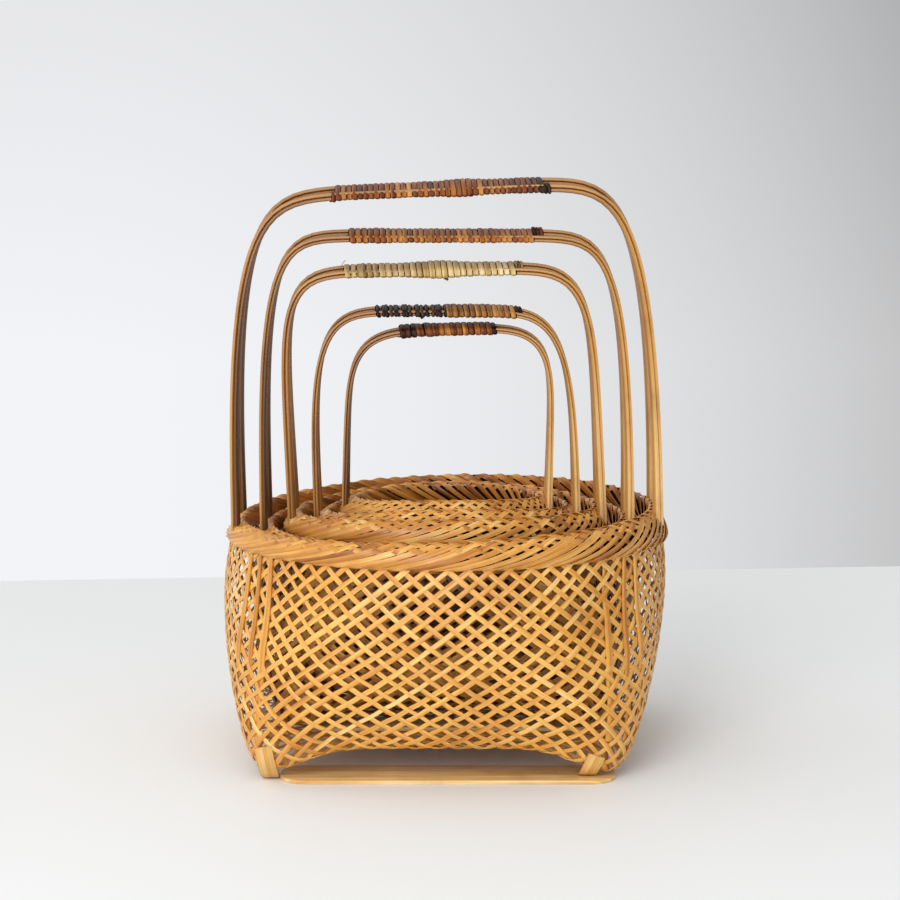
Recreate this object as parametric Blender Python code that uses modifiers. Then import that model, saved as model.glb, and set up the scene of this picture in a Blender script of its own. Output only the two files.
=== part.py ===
"""A nest of five bamboo flower baskets, one inside another, each with its own arched handle.

Run it in Blender 4.5: blender --background --python part.py, or from the text editor.
Units are metres, +Z is up, and the nest stands on the floor at z = 0. Every basket has an
openwork body that is square at its foot and round at its mouth, a plaited border, a handle of two
bent bows, a cane binding round the grip, and two flat laths that it stands on.
"""

import math

import bmesh
import bpy
from mathutils import Matrix, Vector
from mathutils.bvhtree import BVHTree

# Driving sizes of the largest basket. The others take theirs from the ridge of their own border.
RIDGE_RADIUS = 0.118  # from the middle of the basket to the ridge of its border
NEST_GAP = 0.0035  # between one border and the border inside it
RIM_HEIGHT = 0.134  # ridge of the largest basket above the floor, at the front and the back
RIM_STEP_UP = 0.0026  # each ridge stands this much above the one around it
RIM_DIP = 0.005  # the ridge is this much lower at the two sides, where the handle pulls on it
SEAT_GAP = 0.0003  # between pieces that touch

# The plaited border round the mouth.
BORDER_OUT = 0.0075  # from the ridge to the outer edge
BORDER_IN = 0.005  # from the ridge to the inner edge
BORDER_HEIGHT = 0.0145
BORDER_OVERHANG = 0.002  # the border's outer edge stands this far out past the top of the wall
BORDER_SECTION_SHARES = ((1, -1), (1, -0.72), (0.62, -0.25), (0.12, 0), (-0.25, 0), (-1, -0.45), (-1, -1))

# The woven body.
BELLY = 0.0025  # the shoulder stands this far out past the top of the wall
SHOULDER_CLIMB_SHARE = 0.65  # how far up the wall the shoulder is
BASE_HALF_SIDE = 0.096  # the foot is a square with rounded corners
BASE_RISE = 0.020  # the middle of the base above the basket's own floor
WALL_THICKNESS = 0.0022
PLAIT_WIDTH = 0.007  # one bar of the coarse lattice that stands for the plaiting
ROUND_POWER = 2
SQUARE_POWER = 8  # higher is squarer
ARCH_POWER = 16  # how sharply the wall's lower edge drops at a corner
SWELL_POWER = 0.7
BASE_RING_SHARES = (0.8, 0.4)

# The two flat laths under each basket.
LATH_THICKNESS = 0.0022
LATH_WIDTH = 0.027
LATH_END_INSET = 0.007  # each end of a lath from the side of the foot, before the shift
LATH_SHIFT = 0.0025  # the laths sit a little to the right
LATH_INSET = 0.004  # front edge of the front lath from the face of the foot
LATH_CORNER_RADIUS = 0.008
LATH_CORNER_STEPS = 3
ROUND_PROFILE = 0.5

# The ties that hold the laths to the feet of the largest basket.
TIE_WIDTH = 0.009
TIE_THICKNESS = 0.0012
TIE_TOP = 0.021
TIE_TUCK = 0.014  # how far the tie runs in under the foot
TIE_RIGHT_INSET = 0.022  # middle of the right ties from the side of the foot
TIE_STEPS = 3

# The stays, three splints at each corner of the largest basket.
STAY_WIDTH = 0.0045
STAY_THICKNESS = 0.0012
STAY_TOP_GAP = 0.002  # below the border
STAY_FOOT = 0.046
STAY_LEFT_TURNS = (11 / 360, 18.5 / 360, 26 / 360)  # from the corner towards the side
STAY_RIGHT_TURNS = (2 / 360, 9 / 360, 16.5 / 360)

# The handles. Shares follow the largest handle.
LEG_OUT_SHARES = (0.41, 0.42, 0.424, 0.65, 0.62)  # legs from the ridge, of BORDER_OUT
HANDLE_TOP = 0.315  # middle of the largest grip above the floor
HANDLE_TOP_SHARES = (1, 0.9165, 0.856, 0.782, 0.749)
BOW_POWERS = ((2.7, 8.2), (3.1, 9.6), (5.9, 7.5), (3.7, 6.2), (6.4, 4.3))  # height power, width power
LEAN_SHARES = (-0.032, -0.021, -0.074, -0.05, 0.042)  # crown to the right, of the half span
SLOPE_SHARES = (0.04, 0, 0.015, 0, 0.027)  # rise of the grip towards the right
BOW_THICKNESS = 0.0032
BOW_WIDTH = 0.0055
BOW_FOOT_SPREAD = 0.024  # front bow to the middle plane, at the border
BOW_TOP_SPREAD = 0.011  # the same at the grip
REAR_BOW_RISE = 0.003  # the rear bow arches a little higher than the front one
SLIMMER_SHARES = (1, 0.85, 0.9, 0.7, 0.7)
POCKET_DEPTH = 0.011  # each leg stands in a pocket in the border
POCKET_OVERRUN = 0.006

# The cane bindings round the grips.
BINDING_HALF_LENGTH_SHARES = (0.489, 0.5, 0.546, 0.53, 0.45)
BINDING_SHIFT_SHARES = (-0.008, -0.0145, -0.039, 0.038, -0.06)
LEAST_PITCH = 0.0057  # from one turn of cane to the next
CANE_HALF_THICKNESS = 0.0009
CANE_FLATNESS = 2.4  # the cane is this many times as wide as it is thick
BINDING_CORNER = 0.0009
LEAST_SELF_GAP = 0.0004

# How finely the round shapes are faceted.
LATTICE_COLUMNS = 24
LATTICE_ROWS = 8
SHELL_COLUMNS = 16
SHELL_ROWS = 4
RIM_SEGMENTS = 32
INNER_RIM_SEGMENTS = 24
LEG_STEPS = 6
TOP_STEPS = 7
STAY_STEPS = 5
BETWEEN = 4  # probes of the wall for each step of a strip laid on it

NEST_SIZE = len(LEG_OUT_SHARES)
FRONT, REAR = -1, 1
QUARTER_TURN = math.pi / 2

for old in list(bpy.data.objects):
    bpy.data.objects.remove(old, do_unlink=True)

parts = bpy.data.collections.new("nest_of_baskets")
cutters = bpy.data.collections.new("cutters")
for collection in (parts, cutters):
    bpy.context.scene.collection.children.link(collection)


def material(name, colour, roughness):
    made = bpy.data.materials.new(name)
    made.use_nodes = True
    shader = made.node_tree.nodes["Principled BSDF"]
    shader.inputs["Base Color"].default_value = (*colour, 1)
    shader.inputs["Roughness"].default_value = roughness
    shader.inputs["Metallic"].default_value = 0
    return made


PLAITED_BAMBOO = material("plaited_bamboo", (0.60, 0.33, 0.10), 0.45)
BORDER_BAMBOO = material("border_bamboo", (0.55, 0.29, 0.09), 0.45)
BENT_BAMBOO = material("bent_bamboo", (0.45, 0.24, 0.09), 0.40)
SPLIT_BAMBOO = material("split_bamboo", (0.62, 0.38, 0.15), 0.50)
RED_CANE = material("red_brown_cane", (0.36, 0.13, 0.04), 0.35)
PALE_CANE = material("pale_cane", (0.62, 0.43, 0.18), 0.40)
DARK_CANE = material("dark_cane", (0.16, 0.06, 0.025), 0.35)
BINDING_MATERIALS = (RED_CANE, RED_CANE, PALE_CANE, DARK_CANE, RED_CANE)


class Basket:
    """The sizes of one basket of the nest, all worked out from the driving sizes."""

    def __init__(self, place, floor):
        self.place = place
        self.name = f"basket_{place + 1}"
        self.ridge = RIDGE_RADIUS - place * (BORDER_OUT + BORDER_IN + NEST_GAP)
        self.share = self.ridge / RIDGE_RADIUS
        self.wall_top = self.ridge + BORDER_OUT - BORDER_OVERHANG
        self.belly = BELLY * self.share
        self.floor = floor
        self.rim = RIM_HEIGHT + place * RIM_STEP_UP
        self.foot = floor + LATH_THICKNESS + SEAT_GAP
        self.base = floor + BASE_RISE * self.share
        self.foot_spread = BOW_FOOT_SPREAD * self.share
        leg_radius = self.ridge + BORDER_OUT * LEG_OUT_SHARES[place]
        self.half_span = math.sqrt(leg_radius**2 - self.foot_spread**2)
        self.grip = HANDLE_TOP * HANDLE_TOP_SHARES[place]
        self.bow_thickness = BOW_THICKNESS * SLIMMER_SHARES[place]
        self.bow_width = BOW_WIDTH * SLIMMER_SHARES[place]
        self.top_spread = BOW_TOP_SPREAD * self.share
        self.rear_rise = REAR_BOW_RISE * self.share

    def ridge_height(self, angle):
        return self.rim - RIM_DIP * math.cos(angle) ** 2

    def edge_height(self, angle):
        """The lower edge of the wall, which arches up between the four feet."""
        corner = abs(math.sin(2 * angle)) ** ARCH_POWER
        return self.base - (self.base - self.foot) * corner

    def wall_point(self, turn, climb):
        """A point on the outside of the wall: turn goes once round, climb from edge to border."""
        angle = 2 * math.pi * turn
        swell = math.sin(QUARTER_TURN * min(1, climb / SHOULDER_CLIMB_SHARE)) ** SWELL_POWER
        drawn = max(0, (climb - SHOULDER_CLIMB_SHARE) / (1 - SHOULDER_CLIMB_SHARE)) ** 2
        foot = BASE_HALF_SIDE * self.share
        side = foot + (self.wall_top + self.belly - foot) * swell - self.belly * drawn
        power = ROUND_POWER + (SQUARE_POWER - ROUND_POWER) * (1 - climb) ** 3
        spread = abs(math.cos(angle)) ** power + abs(math.sin(angle)) ** power
        radius = side / spread ** (1 / power)
        low = self.edge_height(angle)
        high = self.ridge_height(angle) - BORDER_HEIGHT - SEAT_GAP
        return Vector((radius * math.cos(angle), radius * math.sin(angle), low + (high - low) * climb))

    def base_point(self, turn, share):
        """A point on the underside of the base, at a share of the way out to the wall."""
        edge = self.wall_point(turn, 0)
        return Vector((edge.x * share, edge.y * share, self.base - (self.base - edge.z) * share**ARCH_POWER))


def link(data, name, finish, collection=parts):
    data.materials.append(finish)
    made = bpy.data.objects.new(name, data)
    collection.objects.link(made)
    return made


def mesh_object(bm, name, finish, collection=parts):
    mesh = bpy.data.meshes.new(name)
    bm.to_mesh(mesh)
    bm.free()
    return link(mesh, name, finish, collection)


def shell_surface(basket, columns, rows):
    """The outside of the body as one sheet of diamonds, with the diamonds that may be opened."""
    bm = bmesh.new()
    rings = []
    for row in range(rows + 1):
        shift = row % 2 / 2
        points = [basket.wall_point((i + shift) / columns, row / rows) for i in range(columns)]
        rings.append([bm.verts.new(point) for point in points])
    diamonds = []
    for row in range(rows - 1):
        step = row % 2
        for i in range(columns):
            left = rings[row + 1][(i - 1 + step) % columns]
            right = rings[row + 1][(i + step) % columns]
            diamonds.append(bm.faces.new((rings[row][i], right, rings[row + 2][i], left)))
    top = rings[rows]
    step = rows % 2
    for i in range(columns):
        bm.faces.new((rings[0][i], rings[0][(i + 1) % columns], rings[1][i]))
        below = rings[rows - 1][(i + step) % columns]
        bm.faces.new((top[(i + 1) % columns], top[i], below))
    outer = rings[0]
    for share in BASE_RING_SHARES:
        inner = [bm.verts.new(basket.base_point(i / columns, share)) for i in range(columns)]
        for i in range(columns):
            after = (i + 1) % columns
            bm.faces.new((outer[after], outer[i], inner[i], inner[after]))
        outer = inner
    middle = bm.verts.new((0, 0, basket.base))
    for i in range(columns):
        bm.faces.new((outer[(i + 1) % columns], outer[i], middle))
    bm.normal_update()
    return bm, diamonds


def add_body(basket, columns, rows, open_lattice):
    """The plaited wall and base, as one shell. Returns its outside, for the pieces that lie on it."""
    bm, diamonds = shell_surface(basket, columns, rows)
    outside = BVHTree.FromBMesh(bm)
    if open_lattice:
        bmesh.ops.inset_individual(bm, faces=diamonds, thickness=PLAIT_WIDTH / 2, use_even_offset=True)
        bmesh.ops.delete(bm, geom=diamonds, context="FACES")
    body = mesh_object(bm, f"{basket.name}_body", PLAITED_BAMBOO)
    wall = body.modifiers.new("wall", "SOLIDIFY")
    wall.thickness = WALL_THICKNESS
    wall.offset = -1
    wall.use_even_offset = True
    wall.use_quality_normals = True
    return outside


def leg_places(basket):
    """Where the four legs of a handle enter the border."""
    height = basket.ridge_height(math.atan2(basket.foot_spread, basket.half_span))
    corners = [(side, way) for side in (-1, 1) for way in (FRONT, REAR)]
    return [(side * basket.half_span, way * basket.foot_spread, height) for side, way in corners]


def lean(basket, height):
    return math.atan2(basket.foot_spread - basket.top_spread, height)


def bow_height(basket, way):
    rise = basket.rear_rise / 2 * way
    return basket.grip + rise - leg_places(basket)[0][2]


def pocket_cutter(basket):
    """Four boxes, a clearance larger than the legs, that open the pockets in the border."""
    bm = bmesh.new()
    clear = 2 * SEAT_GAP
    size = (basket.bow_thickness + clear, basket.bow_width + clear, POCKET_DEPTH + POCKET_OVERRUN)
    for x, y, z in leg_places(basket):
        way = math.copysign(1, y)
        turn = Matrix.Rotation(lean(basket, bow_height(basket, way)) * way, 4, "X")
        drop = Vector((0, 0, (POCKET_OVERRUN - POCKET_DEPTH) / 2 - SEAT_GAP))
        place = Matrix.Translation((x, y, z)) @ turn @ Matrix.Translation(drop)
        bmesh.ops.create_cube(bm, size=1, matrix=place @ Matrix.Diagonal((*size, 1)))
    cutter = mesh_object(bm, f"{basket.name}_pocket_cutter", BORDER_BAMBOO, cutters)
    cutter.hide_render = True
    cutter.display_type = "WIRE"
    return cutter


def add_rim(basket, segments):
    bm = bmesh.new()
    profile = []
    for out_share, up_share in BORDER_SECTION_SHARES:
        reach = BORDER_OUT if out_share > 0 else BORDER_IN
        profile.append(bm.verts.new((basket.ridge + reach * out_share, 0, BORDER_HEIGHT * up_share)))
    edges = [bm.edges.new((profile[i - 1], profile[i])) for i in range(len(profile))]
    bmesh.ops.spin(
        bm,
        geom=profile + edges,
        cent=(0, 0, 0),
        axis=(0, 0, 1),
        angle=2 * math.pi,
        steps=segments,
        use_merge=True,
    )
    bmesh.ops.remove_doubles(bm, verts=bm.verts, dist=SEAT_GAP / 3)
    for vert in bm.verts:
        vert.co.z += basket.ridge_height(math.atan2(vert.co.y, vert.co.x))
    bmesh.ops.recalc_face_normals(bm, faces=bm.faces)
    rim = mesh_object(bm, f"{basket.name}_rim", BORDER_BAMBOO)
    pockets = rim.modifiers.new("pockets", "BOOLEAN")
    pockets.operation = "DIFFERENCE"
    pockets.object = pocket_cutter(basket)
    return rim


def as_bent(basket, x, z, height):
    """Moves a point of a regular arch to where the hand of the maker put it."""
    rise = max(0, z) / height
    return (
        x + basket.half_span * LEAN_SHARES[basket.place] * rise,
        z + x * SLOPE_SHARES[basket.place] * rise,
    )


def bow_centre_line(basket, height):
    """A squared arch from the right foot over the crown to the left foot."""
    up, out = BOW_POWERS[basket.place]
    half = [(basket.half_span, -POCKET_DEPTH)]
    knee = 0.5 ** (1 / up)
    crown = 0.5 ** (1 / out)
    for i in range(LEG_STEPS):
        climb = knee * math.sin(QUARTER_TURN * i / LEG_STEPS)
        half.append((basket.half_span * (1 - climb**up) ** (1 / out), height * climb))
    for i in range(TOP_STEPS + 1):
        across = crown * math.cos(QUARTER_TURN * i / TOP_STEPS)
        half.append((basket.half_span * across, height * (1 - across**out) ** (1 / up)))
    whole = half + [(-x, z) for x, z in reversed(half[:-1])]
    return [as_bent(basket, x, z, height) for x, z in whole]


def add_bow(basket, way):
    """A bent splint: its outline lies in its own plane, which leans in towards the other bow."""
    height = bow_height(basket, way)
    slope = lean(basket, height)
    line = bow_centre_line(basket, height / math.cos(slope))
    outline = []
    for side in (1, -1):
        edge = []
        for i, (x, z) in enumerate(line):
            before = line[max(0, i - 1)]
            after = line[min(len(line) - 1, i + 1)]
            along = Vector((after[0] - before[0], after[1] - before[1])).normalized()
            shift = basket.bow_thickness / 2 * side
            edge.append((x + along.y * shift, z - along.x * shift))
        outline += edge if side > 0 else reversed(edge)
    curve = bpy.data.curves.new(f"{basket.name}_bow", "CURVE")
    curve.dimensions = "2D"
    curve.fill_mode = "BOTH"
    curve.extrude = basket.bow_width / 2
    curve.resolution_u = 1
    spline = curve.splines.new("POLY")
    spline.points.add(len(outline) - 1)
    for point, (x, z) in zip(spline.points, outline):
        point.co = (x, z, 0, 1)
    spline.use_cyclic_u = True
    bow = link(curve, f"{basket.name}_bow_{'front' if way == FRONT else 'rear'}", BENT_BAMBOO)
    bow.location = (0, way * basket.foot_spread, leg_places(basket)[0][2])
    bow.rotation_euler = (QUARTER_TURN + slope * way, 0, 0)
    return bow


def grip_place(basket, x):
    """The middle between the two bows at a place along the grip."""
    up, out = BOW_POWERS[basket.place]
    height = bow_height(basket, 0)
    across = abs(x) / basket.half_span
    x, z = as_bent(basket, x, height * (1 - across**out) ** (1 / up), height)
    return x, z + leg_places(basket)[0][2]


def add_binding(basket):
    """Flat cane wound round both bows in one unbroken run."""
    half_length = basket.half_span * BINDING_HALF_LENGTH_SHARES[basket.place]
    start = basket.half_span * BINDING_SHIFT_SHARES[basket.place] - half_length
    loops = int(2 * half_length / LEAST_PITCH)
    pitch = 2 * half_length / loops
    room = SEAT_GAP + CANE_HALF_THICKNESS + BINDING_CORNER / 2
    wide = basket.top_spread + basket.bow_width / 2 + room
    tall = basket.bow_thickness / 2 + room
    section = (
        (wide - BINDING_CORNER, -tall),
        (wide, BINDING_CORNER - tall),
        (wide, tall - BINDING_CORNER),
        (wide - BINDING_CORNER, tall),
        (BINDING_CORNER - wide, tall),
        (-wide, tall - BINDING_CORNER),
        (-wide, BINDING_CORNER - tall),
        (BINDING_CORNER - wide, -tall),
    )
    count = len(section)
    points = []
    for i in range(loops * count):
        y, z = section[i % count]
        x, middle = grip_place(basket, start + pitch * (i + 0.5) / count)
        tilt = basket.rear_rise / 2 * y / basket.top_spread
        points.append((x / CANE_FLATNESS, y, z + tilt + middle))
    gap = pitch - 2 * CANE_HALF_THICKNESS * CANE_FLATNESS
    assert gap > LEAST_SELF_GAP, "the loops of a binding touch"
    print(f"{basket.name} binding: {loops} loops, {gap * 1000:.2f} mm between them")
    curve = bpy.data.curves.new(f"{basket.name}_binding", "CURVE")
    curve.dimensions = "3D"
    curve.bevel_depth = CANE_HALF_THICKNESS
    curve.bevel_resolution = 0
    curve.use_fill_caps = True
    curve.resolution_u = 1
    spline = curve.splines.new("POLY")
    spline.points.add(len(points) - 1)
    for point, place in zip(spline.points, points):
        point.co = (*place, 1)
    binding = link(curve, f"{basket.name}_binding", BINDING_MATERIALS[basket.place])
    binding.scale = (CANE_FLATNESS, 1, 1)
    return binding


def add_lath(basket, way):
    """A flat split of bamboo under the front or the rear edge, which the feet stand on."""
    bm = bmesh.new()
    length = 2 * (BASE_HALF_SIDE - LATH_END_INSET) * basket.share
    size = (length, LATH_WIDTH * basket.share, LATH_THICKNESS)
    bmesh.ops.create_cube(bm, size=1, matrix=Matrix.Diagonal((*size, 1)))
    upright = [edge for edge in bm.edges if abs(edge.verts[0].co.z - edge.verts[1].co.z) > LATH_THICKNESS / 2]
    bmesh.ops.bevel(
        bm,
        geom=upright,
        offset=LATH_CORNER_RADIUS * basket.share,
        segments=LATH_CORNER_STEPS,
        profile=ROUND_PROFILE,
        affect="EDGES",
    )
    lath = mesh_object(bm, f"{basket.name}_lath_{'front' if way == FRONT else 'rear'}", SPLIT_BAMBOO)
    middle = (BASE_HALF_SIDE - LATH_INSET - LATH_WIDTH / 2) * basket.share
    lath.location = (LATH_SHIFT * basket.share, way * middle, basket.floor + LATH_THICKNESS / 2)
    return lath


def add_strip(name, path, across, width, thickness, finish):
    """A thin strip lofted along a path. across gives the direction of its width at each point."""
    bm = bmesh.new()
    rings = []
    for i, point in enumerate(path):
        along = (path[min(len(path) - 1, i + 1)] - path[max(0, i - 1)]).normalized()
        side = across[i].normalized() * width / 2
        up = along.cross(across[i]).normalized() * thickness / 2
        rings.append([bm.verts.new(point + side * a + up * b) for a, b in ((1, 1), (-1, 1), (-1, -1), (1, -1))])
    for before, after in zip(rings, rings[1:]):
        for i in range(4):
            bm.faces.new((before[i - 1], before[i], after[i], after[i - 1]))
    bm.faces.new(rings[0])
    bm.faces.new(reversed(rings[-1]))
    bmesh.ops.recalc_face_normals(bm, faces=bm.faces)
    return mesh_object(bm, name, finish)


def reach_over(outside, out, across, width, height, place):
    """How far out the wall comes, at one height, over the width of a strip laid on it."""
    reach = 0
    for shift in (place - width / 2, place, place + width / 2):
        start = out * 2 * RIDGE_RADIUS + across * shift + Vector((0, 0, height))
        hit = outside.ray_cast(start, -out)[0]
        if hit is not None:
            reach = max(reach, hit.dot(out))
    return reach


def laid_path(outside, out, across, width, thickness, top, bottom, steps, place=0):
    """The middle line of a strip that lies on the wall and clears it from one height to another."""
    fine = steps * BETWEEN
    heights = [top + (bottom - top) * i / fine for i in range(fine + 1)]
    wall = []
    for height in heights:
        # Below the wall's edge there is nothing to meet, and the strip hangs straight down.
        wall.append(reach_over(outside, out, across, width, height, place) or wall[-1])
    laid = wall[::BETWEEN]
    for i in range(steps):
        for j in range(BETWEEN):
            line = laid[i] + (laid[i + 1] - laid[i]) * j / BETWEEN
            lift = max(0, wall[i * BETWEEN + j] - line)
            laid[i] += lift
            laid[i + 1] += lift
    path = []
    drop = (top - bottom) / steps
    for i, reach in enumerate(laid):
        lean_out = max(abs(reach - laid[max(0, i - 1)]), abs(laid[min(steps, i + 1)] - reach)) / drop
        clear = (SEAT_GAP + thickness / 2) * math.sqrt(1 + lean_out**2)
        path.append(across * place + out * (reach + clear) + Vector((0, 0, heights[i * BETWEEN])))
    return path


def add_stay(basket, outside, name, angle):
    """A splint that lies on the outside of the wall, from just below the border."""
    top = basket.ridge_height(angle) - BORDER_HEIGHT - STAY_TOP_GAP
    out = Vector((math.cos(angle), math.sin(angle), 0))
    across = Vector((-math.sin(angle), math.cos(angle), 0))
    path = laid_path(outside, out, across, STAY_WIDTH, STAY_THICKNESS, top, STAY_FOOT, STAY_STEPS)
    return add_strip(name, path, [across] * len(path), STAY_WIDTH, STAY_THICKNESS, SPLIT_BAMBOO)


def add_tie(outside, name, x, way, under):
    """A strap over the face of a foot and in under it."""
    across = Vector((1, 0, 0))
    face = Vector((0, way, 0))
    path = laid_path(outside, face, across, TIE_WIDTH, TIE_THICKNESS, TIE_TOP, under, TIE_STEPS, x)
    path.append(path[-1] - face * TIE_TUCK)
    return add_strip(name, path, [across] * len(path), TIE_WIDTH, TIE_THICKNESS, SPLIT_BAMBOO)


def add_corner_pieces(basket, outside):
    tie_left = BASE_HALF_SIDE - TIE_WIDTH / 2
    tie_right = BASE_HALF_SIDE - TIE_RIGHT_INSET
    corners = (("left", -1, tie_left, STAY_LEFT_TURNS), ("right", 1, tie_right, STAY_RIGHT_TURNS))
    for way_name, way in (("front", FRONT), ("rear", REAR)):
        for side_name, side, tie_x, turns in corners:
            # The left ties tuck in beside the end of a lath, the right ones over the top of it.
            under = basket.foot - SEAT_GAP - TIE_THICKNESS / 2
            if side > 0:
                under = basket.floor + LATH_THICKNESS + SEAT_GAP + TIE_THICKNESS / 2
            place = f"{way_name}_{side_name}"
            add_tie(outside, f"{basket.name}_tie_{place}", side * tie_x, way, under)
            for number, turn in enumerate(turns, 1):
                from_x_axis = QUARTER_TURN / 2 - 2 * math.pi * turn
                angle = math.atan2(way * math.sin(from_x_axis), side * math.cos(from_x_axis))
                add_stay(basket, outside, f"{basket.name}_stay_{place}_{number}", angle)


def build_nest():
    floor = 0
    for place in range(NEST_SIZE):
        basket = Basket(place, floor)
        outermost = place == 0
        if outermost:
            outside = add_body(basket, LATTICE_COLUMNS, LATTICE_ROWS, True)
            add_rim(basket, RIM_SEGMENTS)
            add_corner_pieces(basket, outside)
        else:
            add_body(basket, SHELL_COLUMNS, SHELL_ROWS, False)
            add_rim(basket, INNER_RIM_SEGMENTS)
        for way in (FRONT, REAR):
            add_bow(basket, way)
            add_lath(basket, way)
        add_binding(basket)
        floor = basket.base + WALL_THICKNESS + SEAT_GAP


build_nest()
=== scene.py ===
# %% [markdown]
# # A nest of five bamboo flower baskets
# The real object is five baskets, one standing inside another. Each has a wall plaited on the
# diagonal from narrow splints, a plaited border round its mouth, a handle of two bent bows with
# cane wound round the grip, and flat laths to stand on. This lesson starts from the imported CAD
# model, which carries the true sizes, and dresses every piece of it.

# %% The frame
import math

import bmesh
import bpy
import numpy as np
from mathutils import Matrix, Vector


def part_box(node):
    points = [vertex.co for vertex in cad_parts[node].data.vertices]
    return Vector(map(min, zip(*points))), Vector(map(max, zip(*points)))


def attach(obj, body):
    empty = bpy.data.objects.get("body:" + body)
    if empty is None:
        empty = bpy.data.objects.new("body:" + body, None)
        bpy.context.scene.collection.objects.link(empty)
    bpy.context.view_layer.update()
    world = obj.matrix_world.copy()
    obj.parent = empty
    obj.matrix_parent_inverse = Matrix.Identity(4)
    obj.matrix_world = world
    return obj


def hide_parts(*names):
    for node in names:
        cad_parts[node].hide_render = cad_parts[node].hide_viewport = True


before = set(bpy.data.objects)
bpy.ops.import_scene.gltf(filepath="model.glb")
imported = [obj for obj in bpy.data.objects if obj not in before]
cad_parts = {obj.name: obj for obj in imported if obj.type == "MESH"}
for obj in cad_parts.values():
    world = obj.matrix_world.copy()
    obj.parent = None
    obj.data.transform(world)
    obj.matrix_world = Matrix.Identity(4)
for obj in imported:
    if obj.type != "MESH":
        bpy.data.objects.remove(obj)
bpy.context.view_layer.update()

# %% [markdown]
# ## The camera
# The photo was taken with a long lens, a metre and a half away and a little above the grips, which
# shows the mouths of the baskets as thin ellipses. The camera tips down towards the nest, so that
# its shift stays next to nothing.

# %% The camera
MM = 0.001
camera_data = bpy.data.cameras.new("camera")
camera = bpy.data.objects.new("camera", camera_data)
bpy.context.scene.collection.objects.link(camera)
PHOTO_SIDE = 900
FOCAL_PIXELS = 2661
DEGREES_DOWN = 7.744
camera_data.sensor_width = 36
camera_data.lens = FOCAL_PIXELS / PHOTO_SIDE * camera_data.sensor_width
camera_data.shift_x = 3 / PHOTO_SIDE
camera_data.clip_end = 50
camera.location = (0, -1.5, 0.3709)
camera.rotation_euler = (math.radians(90 - DEGREES_DOWN), 0, 0)
bpy.context.scene.camera = camera
bpy.context.scene.view_settings.view_transform = "Standard"
print(f"The lens is {camera_data.lens:.0f} mm long.")

# %% [markdown]
# ## Helpers for nodes and colours
# Every material below is a small graph of nodes. One function adds a node, sets it and links it.
# Colours are written the way a paint program shows them, a second function turns them into the
# linear numbers that light works with, and a third mixes two of them.


# %% Helpers for nodes and colours
def add(tree, kind, links=None, **settings):
    """Adds one node. links gives a value or another node's socket for each input."""
    made = tree.nodes.new(kind)
    for name, value in settings.items():
        setattr(made, name, value)
    for name, value in (links or {}).items():
        if isinstance(value, bpy.types.NodeSocket):
            tree.links.new(value, made.inputs[name])
        else:
            made.inputs[name].default_value = value
    return made


def linear(hex_colour):
    parts = [int(hex_colour[i : i + 2], 16) / 255 for i in (1, 3, 5)]
    return [p / 12.92 if p <= 0.04045 else ((p + 0.055) / 1.055) ** 2.4 for p in parts] + [1]


def mixed(tree, factor, first, second, kind="MIX"):
    """Mixes two colours, each written as a colour or taken from a socket. Returns the socket."""
    node = add(tree, "ShaderNodeMix", {0: factor}, data_type="RGBA", blend_type=kind)
    for socket, value in zip([s for s in node.inputs if s.type == "RGBA"], (first, second)):
        if isinstance(value, str):
            socket.default_value = linear(value)
        else:
            tree.links.new(value, socket)
    return [s for s in node.outputs if s.type == "RGBA"][0]


print("Mid grey #808080 is", round(linear("#808080")[0], 3), "in linear light.")

# %% [markdown]
# ## Table, wall and light
# The nest stands on a white table in front of a pale grey wall, in soft daylight that comes mostly
# from the left. A big sheet does for the table, and its far edge falls where the photo has it, a
# little askew. The wall is the colour of the world, with its light and shade painted in: whiter low
# on the left, greyer high on the right. A broad lamp stands for the window, a small one in front
# helps it, and a low one shines in under the nest. The world gives the light that a room sends back.

# %% Table
TABLE_EDGE = 0.52
TABLE_TURN = math.radians(5.2)
TABLE_WIDTH = 12
TABLE_DEPTH = 8
bpy.ops.object.select_all(action="DESELECT")
bpy.ops.mesh.primitive_plane_add(size=1, location=(0, -TABLE_DEPTH / 2, 0))
table = bpy.context.object
table.name = "table"
table.scale = (TABLE_WIDTH, TABLE_DEPTH, 1)
bpy.ops.object.transform_apply(location=True, rotation=True, scale=True)
table.rotation_euler = (0, 0, TABLE_TURN)
table.location = (0, TABLE_EDGE, 0)
bpy.ops.object.transform_apply(location=True, rotation=True, scale=True)
table_paint = bpy.data.materials.new("white_painted_table")
table_paint.use_nodes = True
table_shader = table_paint.node_tree.nodes["Principled BSDF"]
table_shader.inputs["Base Color"].default_value = linear("#F2F3F2")
table_shader.inputs["Roughness"].default_value = 0.6
table.data.materials.append(table_paint)
print("The table ends", TABLE_EDGE, "m behind the middle of the nest.")

# %% The wall and the light of the room
world = bpy.data.worlds.new("daylight")
bpy.context.scene.world = world
world.use_nodes = True
tree = world.node_tree
tree.nodes.clear()
direction = add(tree, "ShaderNodeTexCoord")
ways = add(tree, "ShaderNodeSeparateXYZ", {0: direction.outputs["Generated"]})
over_the_width = {"Value": ways.outputs["X"], "From Min": -0.17, "From Max": 0.17}
sideways = add(tree, "ShaderNodeMapRange", over_the_width)
rightwards = add(tree, "ShaderNodeMath", {0: sideways.outputs[0], 1: 2.3}, operation="POWER")
over_the_height = {"Value": ways.outputs["Z"], "From Min": -0.1, "From Max": 0.04}
upwards = add(tree, "ShaderNodeMapRange", over_the_height)
# The light and shade of the wall are painted into this gradient.
low_wall = mixed(tree, rightwards.outputs[0], "#F3F4F7", "#C6C6C7")
high_wall = mixed(tree, rightwards.outputs[0], "#E6E6E9", "#AEAFB0")
wall_colour = mixed(tree, upwards.outputs[0], low_wall, high_wall)
both_ways = {0: ways.outputs["X"], 1: ways.outputs["Z"]}
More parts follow.
